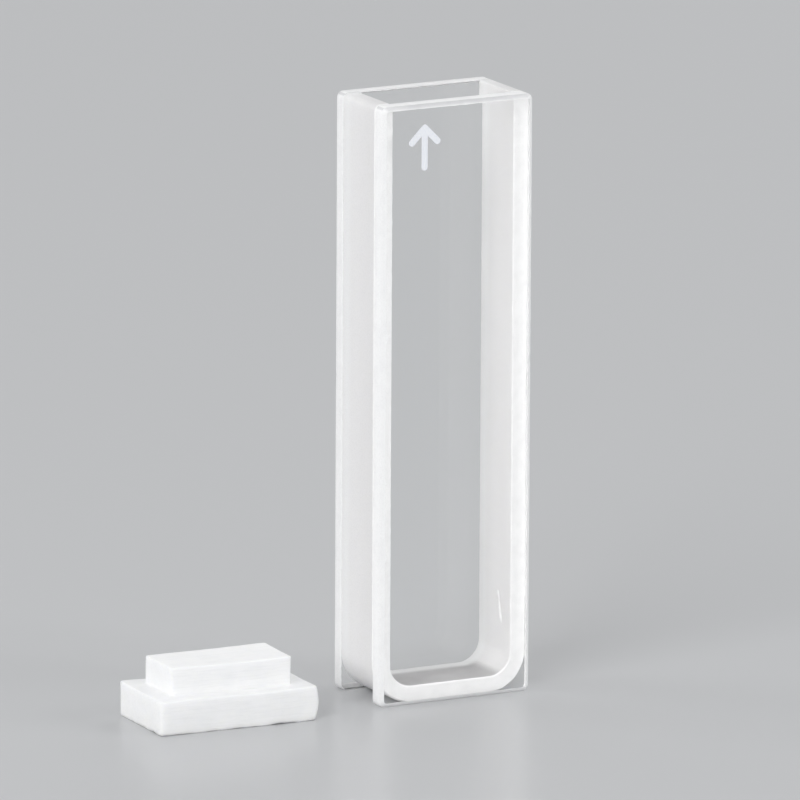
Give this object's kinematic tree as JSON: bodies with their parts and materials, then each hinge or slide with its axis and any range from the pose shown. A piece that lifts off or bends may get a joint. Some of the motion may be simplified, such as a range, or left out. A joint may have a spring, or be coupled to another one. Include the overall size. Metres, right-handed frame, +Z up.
{
  "type": "cuvette",
  "caption": "Rectangular glass cuvette: polished windows fused to a frosted U-shaped strip, open at the top, with its white stopper lying beside it.",
  "frame": {"origin": "centre of the cell's base, on the surface it stands on", "axes": "+X to the right along the front window, +Y from the front window to the rear window along the light path, +Z up"},
  "size_m": [0.0308, 0.0085, 0.045],
  "materials": {
    "clear_glass": "polished faces, ground edges",
    "frosted_glass": "ground, frosted white",
    "white_ptfe": "satin, milled"
  },
  "bodies": {
    "root": {"front_window": "clear_glass", "rear_window": "clear_glass", "u_frame": "frosted_glass", "stopper": "white_ptfe"}
  },
  "joints": []
}
